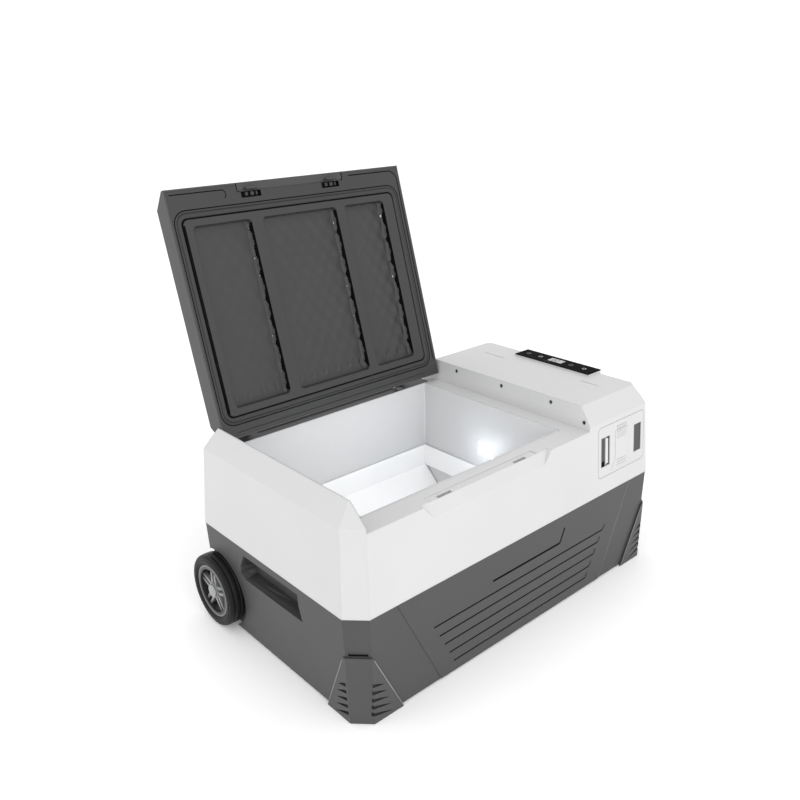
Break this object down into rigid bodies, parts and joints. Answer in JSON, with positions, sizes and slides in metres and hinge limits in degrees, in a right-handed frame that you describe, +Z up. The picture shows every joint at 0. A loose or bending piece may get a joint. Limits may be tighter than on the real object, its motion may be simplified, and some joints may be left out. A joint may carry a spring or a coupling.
{
  "type": "compressor cooler fridge",
  "caption": "Wheeled chest cooler fridge with a hinged insulated lid, lift-out basket, side compressor compartment, control strip and slide-out battery.",
  "frame": {"origin": "on the floor under the centre of the cabinet", "axes": "+X along the long side towards the compressor compartment, +Y to the hinge and wheel side, +Z up"},
  "size_m": [0.671, 0.4554, 0.6337],
  "materials": {
    "shell_white": "satin",
    "shell_dark": "fine moulded grain",
    "guard_dark": "satin",
    "liner_grey": "smooth satin",
    "foam": "cellular",
    "tube_metal": "drawn tube",
    "copper": "drawn copper tube",
    "lamp_lens": "diffusing lens, emissive when on",
    "basket_white": "smooth",
    "lid_inner_grey": "fine grain",
    "gasket": "soft",
    "latch_grey": "satin",
    "steel": "zinc plated",
    "black_paint": "semi-gloss",
    "tyre_rubber": "matt with grooves",
    "rim_grey": "satin",
    "cap_silver": "metallic paint",
    "fascia_black": "piano gloss",
    "display_glass": "dark window with lit digits",
    "button_black": "gloss",
    "tab_white": "satin",
    "board_green": "solder mask",
    "wire_black": "sleeved",
    "fan_black": "moulded",
    "foot_rubber": "matt",
    "cell_wrap": "shrink sleeve"
  },
  "bodies": {
    "cabinet": {"lower_shell": "shell_dark", "upper_shell": "shell_white", "corner_guard_left": "guard_dark", "corner_guard_right": "guard_dark", "inner_liner": "liner_grey", "insulation_foam": "foam", "evaporator_coil": "tube_metal", "led_lamp": "lamp_lens", "temperature_probe": "copper", "machine_base_plate": "steel", "compressor": "black_paint", "compressor_mounts": "foot_rubber", "condenser_coil": "tube_metal", "fan_shroud": "fan_black", "filter_dryer": "copper", "refrigerant_lines": "copper", "power_board": "board_green", "wiring_harness": "wire_black", "dc_inlet": "fan_black", "control_fascia": "fascia_black", "control_board": "board_green", "display_module": "display_glass", "battery_bay": "fan_black", "battery_contacts": "steel", "axle_left": "steel", "axle_right": "steel", "rubber_feet": "foot_rubber", "partition_screws": "steel", "hinge_bracket_left": "black_paint", "hinge_bracket_right": "black_paint", "hinge_pins": "steel", "hinge_screws": "steel"},
    "lid": {"lid_outer": "shell_dark", "lid_inner": "lid_inner_grey", "lid_gasket": "gasket", "lid_foam": "foam", "latch_pin": "steel", "latch_springs": "steel"},
    "latch": {"latch_handle": "latch_grey", "latch_hooks": "latch_grey"},
    "wheel_left": {"wheel_tyre_left": "tyre_rubber", "wheel_rim_left": "rim_grey", "wheel_cap_left": "cap_silver"},
    "wheel_right": {"wheel_tyre_right": "tyre_rubber", "wheel_rim_right": "rim_grey", "wheel_cap_right": "cap_silver"},
    "battery": {"battery_face": "shell_white", "battery_case": "fan_black", "battery_cells": "cell_wrap"},
    "battery_tab_left": {"battery_latch_left": "tab_white"},
    "battery_tab_right": {"battery_latch_right": "guard_dark"},
    "fan": {"fan_rotor": "fan_black"},
    "basket": {"basket": "basket_white"},
    "key_power": {"control_button_power": "button_black"},
    "key_set": {"control_button_set": "button_black"},
    "key_up": {"control_button_up": "button_black"},
    "key_down": {"control_button_down": "button_black"}
  },
  "joints": [
    {"name": "lid_hinge", "type": "hinge", "parent": "cabinet", "child": "lid", "pos_m": [0, 0.165, 0.296], "axis": [1, 0, 0], "range_deg": [0, 106.2]},
    {"name": "latch_pivot", "type": "hinge", "parent": "lid", "child": "latch", "pos_m": [-0.0761, 0.24434, 0.62284], "axis": [-1, 0, 0], "range_deg": [0, 11], "stiffness_Nm_per_rad": 0.3},
    {"name": "wheel_spin_left", "type": "hinge", "parent": "cabinet", "child": "wheel_left", "pos_m": [-0.3225, 0.1405, 0.0574], "axis": [1, 0, 0], "continuous": true},
    {"name": "wheel_spin_right", "type": "hinge", "parent": "cabinet", "child": "wheel_right", "pos_m": [0.3225, 0.1405, 0.0574], "axis": [1, 0, 0], "continuous": true},
    {"name": "battery_slide", "type": "slide", "parent": "cabinet", "child": "battery", "axis": [0, -0.9974, 0.0721], "range_m": [0, 0.1]},
    {"name": "battery_tab_left_slide", "type": "slide", "parent": "battery", "child": "battery_tab_left", "axis": [1, 0, 0], "range_m": [0, 0.004], "stiffness_N_per_m": 400},
    {"name": "battery_tab_right_slide", "type": "slide", "parent": "battery", "child": "battery_tab_right", "axis": [-1, 0, 0], "range_m": [0, 0.004], "stiffness_N_per_m": 400},
    {"name": "fan_spin", "type": "hinge", "parent": "cabinet", "child": "fan", "pos_m": [0.228, -0.127, 0.078], "axis": [0, 1, 0], "continuous": true},
    {"name": "basket_lift", "type": "slide", "parent": "cabinet", "child": "basket", "axis": [0, 0, 1], "range_m": [0, 0.11]},
    {"name": "key_power_press", "type": "slide", "parent": "cabinet", "child": "key_power", "axis": [0, 0, -1], "range_m": [0, 0.0008], "stiffness_N_per_m": 600},
    {"name": "key_set_press", "type": "slide", "parent": "cabinet", "child": "key_set", "axis": [0, 0, -1], "range_m": [0, 0.0008], "stiffness_N_per_m": 600},
    {"name": "key_up_press", "type": "slide", "parent": "cabinet", "child": "key_up", "axis": [0, 0, -1], "range_m": [0, 0.0008], "stiffness_N_per_m": 600},
    {"name": "key_down_press", "type": "slide", "parent": "cabinet", "child": "key_down", "axis": [0, 0, -1], "range_m": [0, 0.0008], "stiffness_N_per_m": 600}
  ]
}
